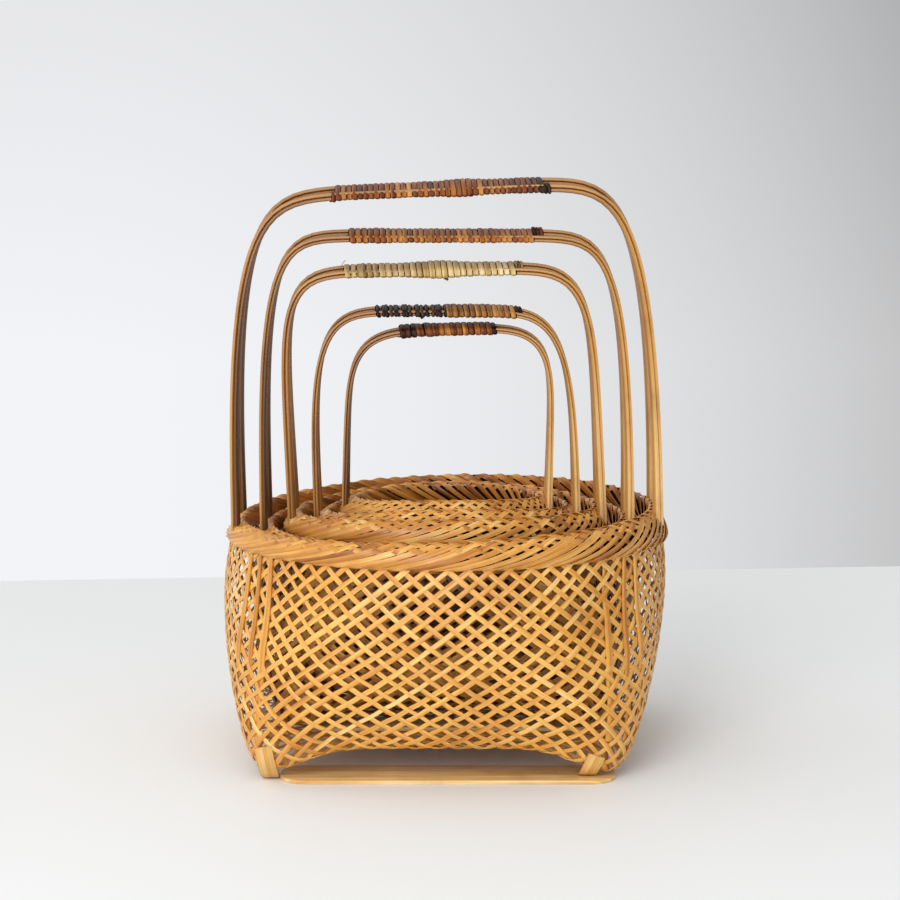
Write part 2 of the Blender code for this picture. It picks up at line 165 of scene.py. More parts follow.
darker = add(tree, "ShaderNodeMath", both_ways, operation="SUBTRACT")
fading = {"Value": darker.outputs[0], "From Min": -1, "From Max": 1, "To Min": 1.0, "To Max": 0.12}
strength = add(tree, "ShaderNodeMapRange", fading)
lit = {"Color": linear("#F8F9FA"), "Strength": strength.outputs[0]}
room = add(tree, "ShaderNodeBackground", lit)
shown = add(tree, "ShaderNodeBackground", {"Color": wall_colour, "Strength": 1})
path = add(tree, "ShaderNodeLightPath")
seen = path.outputs["Is Camera Ray"]
for kind in ("Is Glossy Ray", "Is Transmission Ray"):
    either = add(tree, "ShaderNodeMath", {0: seen, 1: path.outputs[kind]}, operation="MAXIMUM")
    seen = either.outputs[0]
chosen = add(tree, "ShaderNodeMixShader", {0: seen, 1: room.outputs[0], 2: shown.outputs[0]})
add(tree, "ShaderNodeOutputWorld", {"Surface": chosen.outputs[0]})
print("The room is brightest above and on the left.")


# %% The lamps
def square_lamp(name, place, aim, side, watts):
    lamp_data = bpy.data.lights.new(name, "AREA")
    lamp_data.shape = "SQUARE"
    lamp_data.size = side
    lamp_data.energy = watts
    lamp = bpy.data.objects.new(name, lamp_data)
    lamp.location = place
    lamp.rotation_euler = (Vector(aim) - Vector(place)).to_track_quat("-Z", "Y").to_euler()
    bpy.context.scene.collection.objects.link(lamp)


square_lamp("window", (-0.75, -1.95, 1.4), (0, 0, 0.1), 1.1, 20)
square_lamp("far_window", (-0.5, -2.4, 0.9), (0, 0, 0.1), 0.5, 6)
square_lamp("light_from_the_floor", (0.1, -2.8, 0.3), (0, 0, 0.05), 0.5, 9)
print("A broad lamp on the left, a small one in front, and a low one that shines in under the nest.")

# %% [markdown]
# ## The sizes of the five baskets
# All sizes are in metres and follow from the ridge of each border: the baskets are one design made
# five times smaller and smaller. They were read from the photo, and some differ by a few
# millimetres from the CAD model, which is plainer. `share` compares a basket with the largest one.

# %% The sizes of the five baskets
SEAT = 0.3 * MM
RIDGE = 116 * MM
NEST_STEP = 16 * MM
BORDER_OUT = 9.5 * MM
BORDER_IN = 3.5 * MM
BORDER_HEIGHT = 15 * MM
BASE_HALF_SIDE = 102 * MM
FOOT_SHIFT = -4.5 * MM
LATH_THICKNESS = 2.2 * MM
POCKET_DEPTH = 9.5 * MM
SHOULDER = 0.75
ARCH_POWER = 12
RIM_HEIGHTS = (0.1351, 0.1305, 0.13882, 0.14152, 0.14388)
WARP = 4 * MM
WARPS = ((0.94, 0.27, 0.39), (0.5, 0.25, 0.38), (0.4, -0.52, 1), (0.4, -0.62, 1.6), (0.12, -0.65, 0.6))
TALLER_RIGHT = 0.25
LEG_OUT = (0.534, 0.542, 0.545, 0.724, 0.70)
GRIP_HEIGHTS = (0.315, 0.2887, 0.26964, 0.24633, 0.235935)
BOW_POWERS = ((2.7, 8.2), (3.1, 9.6), (5.9, 7.5), (3.7, 6.2), (6.4, 4.3))
LEANS = (-0.032, -0.021, -0.074, -0.05, 0.042)
SLOPES = (0.04, 0, 0.015, 0, 0.027)
SLIMMER = (1, 0.85, 0.9, 0.7, 0.7)
GRIP_HALF_LENGTHS = (0.489, 0.5, 0.546, 0.53, 0.45)
GRIP_SHIFTS = (-0.008, -0.0145, -0.039, 0.038, -0.06)
SPLINT_COUNTS = (68, 62, 54, 50, 46)


class Basket:
    """The sizes of one basket of the nest."""

    def __init__(self, place, floor):
        self.place = place
        self.name = f"basket_{place + 1}"
        self.ridge = RIDGE - place * NEST_STEP
        self.share = self.ridge / RIDGE
        self.wall_top = self.ridge + BORDER_OUT - 2 * MM
        self.belly = 2.5 * MM * self.share
        self.foot = floor + LATH_THICKNESS + SEAT
        self.base = floor + 20 * MM * self.share
        self.edge = floor + 17.5 * MM * self.share
        self.foot_spread = 24 * MM * self.share
        leg_radius = self.ridge + BORDER_OUT * LEG_OUT[place]
        self.half_span = math.sqrt(leg_radius**2 - self.foot_spread**2)
        self.grip = GRIP_HEIGHTS[place]
        self.bow_thickness = 3.2 * MM * SLIMMER[place]
        self.bow_width = 5.5 * MM * SLIMMER[place]
        self.top_spread = 11 * MM * self.share
        self.rear_rise = 3 * MM * self.share
        self.splints = SPLINT_COUNTS[place]

    def ridge_height(self, angle):
        to_right, to_back, dip = WARPS[self.place]
        level = to_right * np.cos(angle) + to_back * np.sin(angle) - dip * np.cos(angle) ** 2
        return RIM_HEIGHTS[self.place] + WARP * level

    def border_height(self, angle):
        return BORDER_HEIGHT * (1 + TALLER_RIGHT * np.cos(angle))


baskets = []
for place in range(5):
    # A basket stands where the underside of its laths is.
    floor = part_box(f"basket_{place + 1}_lath_front")[0].z
    baskets.append(Basket(place, floor))
for b in baskets:
    print(f"{b.name}: {2000 * (b.ridge + BORDER_OUT):.0f} mm across, {b.splints} splints each way")

# %% [markdown]
# ## Bamboo and cane
# Split bamboo is a bundle of straight fibres under a hard, slightly glossy skin. To the eye it is
# a honey colour with fine lengthwise streaks, no two splints the same, darker where hands and dust
# have been. So the material reads three things: a tone that each splint carries as an attribute,
# streaks drawn along the splint's own UV map, and a slow stain that runs through the whole piece.
# Cane is the peeled skin of rattan: rounder, smoother, redder, with hardly a grain.


# %% Bamboo and cane
def plant_fibre(name, tones, stain, streak=0.25, roughness=0.4, along=0.045, across=0.9 * MM, specular=0.5):
    """Split bamboo or cane. along and across are the length and width of a streak, in metres."""
    made = bpy.data.materials.new(name)
    made.use_nodes = True
    tree = made.node_tree
    shader = tree.nodes["Principled BSDF"]
    tone = add(tree, "ShaderNodeAttribute", attribute_name="tone")
    lengthwise = add(tree, "ShaderNodeUVMap", uv_map="grain")
    fine_scale = add(
        tree,
        "ShaderNodeMapping",
        {"Vector": lengthwise.outputs[0], "Scale": (1 / along, 1 / across, 1)},
    )
    fine = add(
        tree,
        "ShaderNodeTexNoise",
        {"Vector": fine_scale.outputs[0], "Scale": 1, "Detail": 3, "Roughness": 0.6},
    )
    slow_scale = add(
        tree,
        "ShaderNodeMapping",
        {"Vector": lengthwise.outputs[0], "Scale": (0.4 / along, 0.25 / across, 1)},
    )
    slow = add(
        tree,
        "ShaderNodeTexNoise",
        {"Vector": slow_scale.outputs[0], "Scale": 1, "Detail": 2, "Roughness": 0.5},
    )
    shifted = add(
        tree,
        "ShaderNodeMath",
        {0: slow.outputs["Fac"], 1: 1.3, 2: tone.outputs["Fac"]},
        operation="MULTIPLY_ADD",
    )
    centred = add(tree, "ShaderNodeMath", {0: shifted.outputs[0], 1: 0.65}, operation="SUBTRACT")
    colour = add(tree, "ShaderNodeValToRGB", {"Fac": centred.outputs[0]})
    ramp = colour.color_ramp
    while len(ramp.elements) < len(tones):
        ramp.elements.new(0.5)
    for i, (place, value) in enumerate(tones):
        ramp.elements[i].position = place
        ramp.elements[i].color = linear(value)
    streaked_by = add(
        tree,
        "ShaderNodeMapRange",
        {
            "Value": fine.outputs["Fac"],
            "From Min": 0.3,
            "From Max": 0.7,
            "To Min": 1 - streak,
            "To Max": 1 + streak / 3,
        },
    )
    streaked = add(
        tree,
        "ShaderNodeVectorMath",
        {0: colour.outputs["Color"], "Scale": streaked_by.outputs[0]},
        operation="SCALE",
    )
    where = add(tree, "ShaderNodeTexCoord")
    cloud = add(
        tree,
        "ShaderNodeTexNoise",
        {"Vector": where.outputs["Object"], "Scale": 28, "Detail": 4, "Roughness": 0.6},
    )
    stained_by = add(
        tree,
        "ShaderNodeMapRange",
        {"Value": cloud.outputs["Fac"], "From Min": 0.5, "From Max": 0.72, "To Min": 0, "To Max": 0.35},
    )
    stained = mixed(tree, stained_by.outputs[0], streaked.outputs[0], stain, "MULTIPLY")
    tree.links.new(stained, shader.inputs["Base Color"])
    worn = add(
        tree,
        "ShaderNodeMapRange",
        {"Value": fine.outputs["Fac"], "To Min": roughness - 0.1, "To Max": roughness + 0.12},
    )
    tree.links.new(worn.outputs[0], shader.inputs["Roughness"])
    raised = add(
        tree,
        "ShaderNodeBump",
        {"Height": fine.outputs["Fac"], "Strength": 0.4, "Distance": 0.06 * MM},
    )
    tree.links.new(raised.outputs[0], shader.inputs["Normal"])
    shader.inputs["Specular IOR Level"].default_value = specular
    return made


# Honey splints, from the brown of old skin to the straw of a fresh split face.
plaited = plant_fibre(
    "plaited_bamboo_splint",
    ((0.0, "#8E5216"), (0.3, "#C67F2C"), (0.55, "#E2A044"), (0.8, "#F2BA60"), (1.0, "#F8D48C")),
    "#B87C40",
    streak=0.2,
    roughness=0.38,
)
# The border was plaited from the same splints, handled more, so it is a little browner.
border_bamboo = plant_fibre(
    "border_bamboo_splint",
    ((0.0, "#6E3E14"), (0.3, "#B06C28"), (0.55, "#D6923E"), (0.8, "#ECB05A"), (1.0, "#F6CE84")),
    "#A06C3C",
    roughness=0.36,
)
# Inside the nest the splints are darker: partly their own browner colour with age, and partly a painted
# shade for the dark inside the nest.
aged_and_painted_shade = plant_fibre(
    "aged_bamboo_splint",
    ((0.0, "#1C0C02"), (0.25, "#54300C"), (0.5, "#94601F"), (0.8, "#CC9044"), (1.0, "#E0B472")),
    "#7C4A24",
)
# The bows are thick split bamboo, tan, with a silky skin and soft lengthwise lines.
bent = plant_fibre(
    "bent_bamboo_bow",
    ((0.0, "#2C1606"), (0.3, "#70431A"), (0.55, "#AE7634"), (0.8, "#D8A258"), (1.0, "#ECC484")),
    "#7A4C28",
    roughness=0.34,
    along=0.2,
    across=1.6 * MM,
)
# Laths, ties and stays are planed flat, pale and open grained.
split = plant_fibre(
    "planed_bamboo_lath",
    ((0.0, "#8C5824"), (0.3, "#C08A42"), (0.55, "#DDA858"), (0.8, "#ECC078"), (1.0, "#F4D49C")),
    "#B08048",
    roughness=0.45,
)
CANE_TONES = {
    "red_brown": (("#180800", "#54260A", "#8A4A1A", "#B8742E", "#D69650"), "#6A3820"),
    "pale": (("#3A2610", "#96743E", "#C4A268", "#DEC084", "#EED8A8"), "#907048"),
    "dark": (("#0C0502", "#241005", "#5E3414", "#A06A2C", "#C48C44"), "#402818"),
}
canes = {}
for finish, (values, stain) in CANE_TONES.items():
    canes[finish] = plant_fibre(
        f"{finish}_cane",
        tuple(zip((0.0, 0.3, 0.55, 0.8, 1.0), values)),
        stain,
        roughness=0.5,
        along=0.02,
        across=0.8 * MM,
        specular=0.25,
    )
# What lies under the plaiting and the cane is painted near black, a painted shade for the dark in the
# border's openings and between the turns of cane.
painted_shade_core = bpy.data.materials.new("dark_core_of_old_bamboo")
painted_shade_core.use_nodes = True
painted_shade_core_shader = painted_shade_core.node_tree.nodes["Principled BSDF"]
painted_shade_core_shader.inputs["Base Color"].default_value = linear("#1C0E05")
painted_shade_core_shader.inputs["Roughness"].default_value = 1
painted_shade_core_shader.inputs["Specular IOR Level"].default_value = 0.1
print(len(bpy.data.materials), "materials")

# %% [markdown]
# ## A splint, before it is bent
# A basket maker first splits straight, flat splints and then bends and plaits them. This lesson
# does the same. A splint is modelled once, straight and flat, from a cube: its long upper edges are
# bevelled, and its length is divided so that it can bend. Its size is one in every direction, and
# each place where it is laid gives it its real length, width and thickness.


# %% A splint, before it is bent
def select_edges(obj, wanted):
    """In edit mode, selects the edges whose two ends pass a test."""
    bpy.ops.mesh.select_all(action="DESELECT")
    bm = bmesh.from_edit_mesh(obj.data)
    for edge in bm.edges:
        first, last = (v.co for v in edge.verts)
        edge.select_set(wanted(first, last))
    bmesh.update_edit_mesh(obj.data)


def straight_splint(stations, bevel_lower=False):
    """Models a flat splint and returns its shape: for each corner the station, across and up."""
    bpy.ops.object.select_all(action="DESELECT")
    bpy.ops.mesh.primitive_cube_add(size=1)
    splint = bpy.context.object
    bpy.ops.object.mode_set(mode="EDIT")
    bpy.ops.mesh.select_mode(type="EDGE")
    select_edges(splint, lambda a, c: abs(a.x - c.x) > 0.9 and (bevel_lower or a.z > 0))
    bpy.ops.mesh.bevel(offset=0.27, segments=1, affect="EDGES")
    select_edges(splint, lambda a, c: abs(a.x - c.x) > 0.9)
    bpy.ops.mesh.subdivide(number_cuts=stations - 2)
    bpy.ops.object.mode_set(mode="OBJECT")
    corners = np.array([v.co for v in splint.data.vertices])
    shape = {
        "stations": stations,
        "station": np.rint((corners[:, 0] + 0.5) * (stations - 1)).astype(int),
        "across": corners[:, 1],
        "up": corners[:, 2],
        "faces": [tuple(p.vertices) for p in splint.data.polygons],
    }
    data = splint.data
    bpy.data.objects.remove(splint)
    bpy.data.meshes.remove(data)
    return shape


blanks = {}


def blank(stations, bevel_lower=False):
    key = (stations, bevel_lower)
    if key not in blanks:
        blanks[key] = straight_splint(stations, bevel_lower)
    return blanks[key]


example = blank(12)
print("A splint with 12 stations has", len(example["faces"]), "faces.")

# %% [markdown]
# ## Laying splints
# To lay a splint, each station of the straight one is put on a point of a path. It needs three
# directions there: along the path, across the splint, and up through its thickness. All the
# splints of one family are laid at once, which is quick even for thousands of bends. Each keeps
# its own tone, and a UV map in metres that runs along and across it, for the streaks.


# %% Laying splints
STREAK_SHIFT = 0.37


def unit(rows):
    return rows / np.maximum(np.linalg.norm(rows, axis=-1, keepdims=True), 1e-12)


def eased(rows, times):
    """Rounds the bends of paths, and leaves their ends."""
    rows = rows.copy()
    for _ in range(times):
        rows[:, 1:-1] = (rows[:, :-2] + 2 * rows[:, 1:-1] + rows[:, 2:]) / 4
    return rows


def laid(paths, facing, width, thickness, tones, tilt=0, finish=0, round_all=False):
    """Lays splints along paths. Their upper side looks to facing, and tilt turns it about the path."""
    count, stations = paths.shape[:2]
    shape = blank(stations, round_all)
    along = unit(np.gradient(paths, axis=1))
    across = unit(np.cross(facing, along))
    up = np.cross(along, across)
    tilt = np.broadcast_to(tilt, (count, stations))[..., None]
    across, up = across * np.cos(tilt) + up * np.sin(tilt), up * np.cos(tilt) - across * np.sin(tilt)
    station = shape["station"]
    sideways = np.broadcast_to(width, (count, stations))[:, station] * shape["across"]
    upwards = np.broadcast_to(thickness, (count, stations))[:, station] * shape["up"]
    tones = np.broadcast_to(np.reshape(tones, (count, -1)), (count, stations))[:, station]
    corners = paths[:, station] + across[:, station] * sideways[..., None]
    corners = corners + up[:, station] * upwards[..., None]
    steps = np.linalg.norm(np.diff(paths, axis=1), axis=2)
    run = np.concatenate([np.zeros((count, 1)), np.cumsum(steps, axis=1)], axis=1)
    # The streaks of each splint come from another place.
    shift = np.arange(count)[:, None] * STREAK_SHIFT
    uv = np.stack([run[:, station] + shift, sideways + shift * 0.013 + upwards], axis=-1)
    faces = []
    size = len(station)
    for i in range(count):
        start = i * size
        faces += [tuple(v + start for v in face) for face in shape["faces"]]
    return {
        "corners": corners.reshape(-1, 3),
        "uv": uv.reshape(-1, 2),
        "tone": tones.ravel(),
        "faces": faces,
        "finish": finish,
    }


def solid(obj, tone, finish=0):
    """Takes the mesh of a modelled object into a group of splints, and removes the object."""
    data = obj.data
    corners = np.array([v.co for v in data.vertices])
    faces = [tuple(p.vertices) for p in data.polygons]
    bpy.data.objects.remove(obj)
    bpy.data.meshes.remove(data)
    angle = np.arctan2(corners[:, 1], corners[:, 0])
    uv = np.stack([angle * 0.1, corners[:, 2]], axis=-1)
    tones = np.full(len(corners), tone)
    return {"corners": corners, "uv": uv, "tone": tones, "faces": faces, "finish": finish}


def piece(name, groups, finishes, body, replaced):
    """Joins groups of splints into one mesh object, which rides on a body and replaces CAD nodes."""
    mesh = bpy.data.meshes.new(name)
    corners, faces, finish = [], [], []
    start = 0
    for group in groups:
        corners.append(group["corners"])
        faces += [tuple(v + start for v in face) for face in group["faces"]]
        finish += [group["finish"]] * len(group["faces"])
        start += len(group["corners"])
    mesh.from_pydata(np.concatenate(corners).tolist(), [], faces)
    for material in finishes:
        mesh.materials.append(material)
    mesh.polygons.foreach_set("material_index", finish)
    tone = mesh.attributes.new("tone", "FLOAT", "POINT")
    tone.data.foreach_set("value", np.concatenate([g["tone"] for g in groups]).astype(np.float32))
    of_corner = np.empty(len(mesh.loops), dtype=np.int32)
    mesh.loops.foreach_get("vertex_index", of_corner)
    uv = np.concatenate([g["uv"] for g in groups])[of_corner]
    mesh.uv_layers.new(name="grain").data.foreach_set("uv", uv.astype(np.float32).ravel())
    made = bpy.data.objects.new(name, mesh)
    bpy.context.scene.collection.objects.link(made)
    bpy.ops.object.select_all(action="DESELECT")
    made.select_set(True)
    bpy.context.view_layer.objects.active = made
    bpy.ops.object.shade_smooth_by_angle(angle=math.radians(42))
    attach(made, body)
    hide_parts(*replaced)
    print(f"{name}: {sum(len(f) - 2 for f in faces)} triangles")
    return made


# %% [markdown]
# ## The plaited wall
# The wall is square at the foot and round at the mouth, with a lower edge that drops to four feet.
# Two families of splints run up it on the diagonal, one to the left and one to the right, and pass
# over and under each other once in every row. Each family makes a wave in and out of the wall, and
# the two waves are opposite, which is all that plain plaiting is. A little wander in each splint
# keeps the openings from being all alike.


# %% The shape of the wall
EVEN_SPACING = 0.071
SWELL_POWER = 0.7


def wall_point(b, turn, rise):
    """turn goes once round. rise is 0 at the lower edge, 1 at the border, less than 0 at the base."""
    v = np.maximum(rise, 0)
    angle = 2 * math.pi * turn
    # Low down the wall is square, and the splints are spaced evenly along its sides.
    angle = angle + EVEN_SPACING * np.maximum(1 - v, 0) ** 3 * np.sin(4 * angle)
    low = b.edge - (b.edge - b.foot) * np.abs(np.sin(2 * angle)) ** ARCH_POWER
    high = b.ridge_height(angle) - b.border_height(angle) - SEAT
    height = b.edge + (high - b.edge) * v - (b.edge - low) * np.maximum(1 - v, 0) ** 5
    climb = np.clip((height - low) / (high - low), 0, 1)
    swell = np.sin(math.pi / 2 * np.minimum(1, climb / SHOULDER)) ** SWELL_POWER
    drawn = np.maximum(0, (climb - SHOULDER) / (1 - SHOULDER)) ** 2
    foot = BASE_HALF_SIDE * b.share
    side = foot + (b.wall_top + b.belly - foot) * swell - b.belly * drawn
    power = 2 + 6 * (1 - climb) ** 3
    radius = side / (np.abs(np.cos(angle)) ** power + np.abs(np.sin(angle)) ** power) ** (1 / power)
    x = radius * np.cos(angle) + FOOT_SHIFT * b.share * (1 - climb)
    y = radius * np.sin(angle)
    inward = 1 + np.minimum(rise, 0) * 1.1
    height = np.where(rise < 0, b.base - (b.base - low) * inward**ARCH_POWER, height)
    return np.stack([x * inward, y * inward, height], axis=-1)


def wall_facing(b, turn, rise):
    step = 1e-4
    sideways = wall_point(b, turn + step, rise) - wall_point(b, turn - step, rise)
    upwards = wall_point(b, turn, rise + step) - wall_point(b, turn, rise - step)
    return unit(np.cross(sideways, upwards))


print("The front of the largest wall is at", np.round(wall_point(baskets[0], -0.25, 0.5), 4))

# %% The plaited wall
WALL_DEPTH = 0.8 * MM
WEAVE_LIFT = 0.26 * MM
STATIONS_PER_ROW = 3
ROWS_UNDER_THE_BASE = 4
ROW_POWER = 1.12
BASE_PITCH = 8 * MM
BASE_SHARE = 0.93


def plaited_wall(b, rows, width, thickness, tone, seed):
    """Both families of splints of one wall."""
    rng = np.random.default_rng(seed)
    count = b.splints
    first, last = -ROWS_UNDER_THE_BASE, rows + 1
    row = np.arange(first * STATIONS_PER_ROW, last * STATIONS_PER_ROW + 1) / STATIONS_PER_ROW
    groups = []
    for way in (1, -1):
        phase = rng.uniform(0, 2 * math.pi, (count, 2, 1))
        wander = 0.07 * np.sin(row / rows * 4 + phase[:, 0]) + 0.04 * np.sin(row / rows * 11 + phase[:, 1])
        start = np.arange(count)[:, None] + rng.normal(0, 0.05, (count, 1))
        turn = (start + wander + way * row / 2) / count
        rise = np.sign(row) * np.abs(row / rows) ** ROW_POWER
        rise = np.broadcast_to(rise, turn.shape)
        paths = eased(wall_point(b, turn, rise), 3)
        facing = eased(wall_facing(b, turn, rise), 3)
        wave = np.clip(1.5 * np.cos(math.pi * row), -1, 1) * way
        lift = WEAVE_LIFT * wave - WALL_DEPTH
        paths = paths + unit(facing) * lift[:, None]
        wide = width * rng.uniform(0.86, 1.16, (count, 1)) * (1 + 0.04 * np.sin(row + phase[:, 1]))
        tones = np.clip(rng.normal(tone, 0.08, count), 0, 1)
        groups.append(laid(paths, facing, wide, thickness, tones))
    return groups


def plaited_base(b, width, thickness, tone, seed):
    """The base is plaited too. Its splints run at 45 degrees to the sides."""
    rng = np.random.default_rng(seed)
    half = BASE_HALF_SIDE * b.share * BASE_SHARE
    aside = FOOT_SHIFT * b.share
    reach = int(half * math.sqrt(2) / BASE_PITCH)
    groups = []
    for way in (1, -1):
        for i in range(-reach, reach + 1):
            offset = i * BASE_PITCH
            # The splint is as long as the square base is wide on this diagonal.
            length = half * math.sqrt(2) - abs(offset)
            crossings = max(2, int(length / BASE_PITCH))
            t = np.linspace(-crossings, crossings, 4 * crossings + 1) * BASE_PITCH
            wave = np.cos(math.pi * (t / BASE_PITCH + i)) * way
            x = (t - way * offset) / math.sqrt(2) if way > 0 else (t + offset) / math.sqrt(2)
            y = (t + offset) / math.sqrt(2) if way > 0 else (offset - t) / math.sqrt(2)
            z = np.full_like(t, b.base + 1.3 * MM) + wave * WEAVE_LIFT
            path = np.stack([x + aside, y, z], axis=-1)[None]
            facing = np.broadcast_to((0.0, 0.0, 1.0), path.shape)
            groups.append(laid(path, facing, width, thickness, rng.normal(tone, 0.1, 1)))
    return groups


# The inner baskets show only where one looks in, and their splints are broader and darker, the darkness
# partly their own colour and partly painted shade.
WALL_ROWS = (24, 19, 15, 12, 10)
for b in baskets:
    width, tone, bamboo = (3.4 * MM, 0.6, aged_and_painted_shade) if b.place else (2.6 * MM, 0.66, plaited)
    width = width * (0.7 + 0.3 * b.share)
    wall = plaited_wall(b, WALL_ROWS[b.place], width, 0.45 * MM, tone, 10 + b.place)
    wall += plaited_base(b, width * 1.1, 0.5 * MM, 0.4, 20 + b.place)
    piece(f"{b.name}_plaiting", wall, [bamboo], b.name, [f"{b.name}_body"])

# %% [markdown]
# ## The plaited border
# At the mouth the splints are turned over a hidden hoop and plaited back into themselves. Seen from
# outside, long splints sweep up to the right and overlap like roof tiles. Near the ridge they pass
# under short ones that come over from the inside and lean the other way, which leaves a row of
# small dark openings. The inside is the same thing mirrored. So there are two families again. Each
# is a roof on its own side of the ridge and is tucked in on the other.

# %% The section of the border
SECTION = (
    (-0.4, -1.02), (-1, -0.97), (-1, -0.45),
    (-0.25, 0), (0.12, 0), (0.62, -0.25),
    (1, -0.72), (1, -0.97), (0.6, -1.05),
)
outline = np.array([(x * (BORDER_OUT if x > 0 else BORDER_IN), z * BORDER_HEIGHT) for x, z in SECTION])
reach = np.concatenate([[0], np.cumsum(np.linalg.norm(np.diff(outline, axis=0), axis=1))])
ridge_reach = (reach[3] + reach[4]) / 2
FINE = 180
fine = np.linspace(0, reach[-1], FINE + 1)
section = np.stack([np.interp(fine, reach, outline[:, i]) for i in (0, 1)], axis=-1)[None]
section = eased(section, 60)[0]
section_facing = unit(np.stack([-np.gradient(section[:, 1]), np.gradient(section[:, 0])], axis=-1))


def border_point(b, turn, out, lift):
    """out is the way over the border from its ridge: more than 0 outside, less than 0 inside."""
    place = (out + ridge_reach) / reach[-1] * FINE
    at = [np.interp(place, np.arange(FINE + 1), section[:, i]) for i in (0, 1)]
    face = [np.interp(place, np.arange(FINE + 1), section_facing[:, i]) for i in (0, 1)]
    angle = 2 * math.pi * turn
    radius = b.ridge + at[0] + face[0] * lift
    height = b.ridge_height(angle) + at[1] * b.border_height(angle) / BORDER_HEIGHT + face[1] * lift
    point = np.stack([radius * np.cos(angle), radius * np.sin(angle), height], axis=-1)
    steepness = face[1] * np.ones_like(angle)
    facing = np.stack([face[0] * np.cos(angle), face[0] * np.sin(angle), steepness], axis=-1)
    return point, facing


print(f"Over the border it is {1000 * reach[-1]:.0f} mm.")

# %% The plaited border
# The run of one splint, from its lower end to its tucked end: millimetres out from the ridge,
# pitches along the rim, and millimetres under the skin of the border.
OUTER_RUN = np.array((
    (22.0, -3.3, 1.7), (19.4, -2.9, 0.5), (16.8, -2.0, 0.45), (14.0, -1.05, 0.45),
    (11.2, -0.3, 0.45), (8.8, 0.25, 0.45), (6.4, 0.75, 1.2), (3.6, 1.25, 0.4),
    (0.8, 1.75, 1.25), (-2.0, 2.2, 1.5), (-5.0, 2.6, 1.9),
))
INNER_RUN = np.array((
    (-18.0, -3.9, 1.5), (-16.0, -3.4, 0.5), (-13.0, -2.5, 0.45), (-10.0, -1.75, 0.45),
    (-7.0, -1.1, 0.45), (-4.2, -0.55, 0.45), (-1.6, -0.05, 0.4), (0.8, 0.4, 0.4),
    (3.6, 0.9, 1.2), (6.4, 1.4, 0.4), (9.2, 1.9, 1.4), (12.0, 2.3, 1.9),
))
ROOF_TILT = math.radians(20)
# The width of a splint, compared with the distance between two.
BORDER_WIDTH = 0.33
HOOP_OUT = 2.2 * MM
HOOP_DOWN = 8 * MM
HOOP_THICKNESS = 7.4 * MM


def border_family(b, outer, width, tone, seed):
    rng = np.random.default_rng(seed)
    count = b.splints
    run = OUTER_RUN if outer else INNER_RUN
    spots = np.linspace(0, len(run) - 1, 3 * len(run))
    columns = [np.interp(spots, np.arange(len(run)), column) for column in run.T]
    out, shift, depth = eased(np.stack(columns, -1)[None], 2)[0].T
    roofed = np.interp(out, (7, 11), (0, 1)) if outer else np.interp(-out, (0, 4), (0, 1))
    start = np.arange(count)[:, None] + rng.normal(0, 0.05, (count, 1))
    drift = rng.normal(0, 0.1, (count, 1)) * np.linspace(1, 0, len(out)) ** 2
    turn = (start + shift + drift) / count
    lift = -(depth + rng.normal(0, 0.05, (count, 1))) * MM
    paths, facing = border_point(b, turn, np.broadcast_to(out, turn.shape) * MM, lift)
    wide = width * rng.uniform(0.84, 1.14, (count, 1)) * (1 - (0.12 if outer else -0.4) * roofed)
    # The inner faces are painted darker towards their roofed ends, a painted shade for the inside of the
    # rim.
    tones = np.clip(rng.normal(tone, 0.11, (count, 1)) - (0 if outer else 0.25) * roofed, 0, 1)
    tilt = ROOF_TILT * roofed * (1 if outer else -1)
    return laid(paths, facing, wide, 0.45 * MM, tones, tilt)


def hidden_hoop(b):
    """The hoop in the border, in near-black painted shade, which shows as the dark in its openings."""
    bpy.ops.object.select_all(action="DESELECT")
    bpy.ops.mesh.primitive_torus_add(
        major_segments=64,
        minor_segments=10,
        major_radius=b.ridge + HOOP_OUT,
        minor_radius=HOOP_THICKNESS / 2,
    )
    hoop = bpy.context.object
    hoop.scale = (1, 1, 1.4)
    hoop.location = (0, 0, -HOOP_DOWN)
    bpy.ops.object.transform_apply(location=True, rotation=True, scale=True)
    for corner in hoop.data.vertices:
        angle = math.atan2(corner.co.y, corner.co.x)
        corner.co.z = corner.co.z * b.border_height(angle) / BORDER_HEIGHT + b.ridge_height(angle)
    return solid(hoop, 0, 1)


for b in baskets:
    width = BORDER_WIDTH * 2 * math.pi * b.ridge / b.splints
    border = [
        border_family(b, True, width, 0.64, 30 + b.place),
        border_family(b, False, width * 0.85, 0.56, 40 + b.place),
        hidden_hoop(b),
    ]
    finishes = [border_bamboo, painted_shade_core]
    piece(f"{b.name}_border", border, finishes, b.name, [f"{b.name}_rim"])

# %% [markdown]
# ## The handles
# Each handle is two bows. A bow is a long splint of thick bamboo, heated and bent to a squared
# arch, and its legs stand in the border. Looking closely, each bow is two thin layers, skin side
# out, so a fine dark line runs along its edge. The outline is a superellipse: one power for how
# square it is sideways, another for how flat its crown is. Every handle leans and slopes a little
# in its own way, and so do these.


# %% The line of a bow
def bow_base(b):
    return float(b.ridge_height(math.pi))


def foot_depth(b, side, way):
    """Where a leg ends in the border, from the base that the outline is drawn on."""
    angle = math.atan2(way * b.foot_spread, side * b.half_span)
    return float(b.ridge_height(angle)) - bow_base(b) - POCKET_DEPTH


def as_bent(b, x, z, height):
    rise = np.maximum(0, z) / height
    return x + b.half_span * LEANS[b.place] * rise, z + x * SLOPES[b.place] * rise


def bow_height(b, way):
    return b.grip + b.rear_rise / 2 * way - bow_base(b)


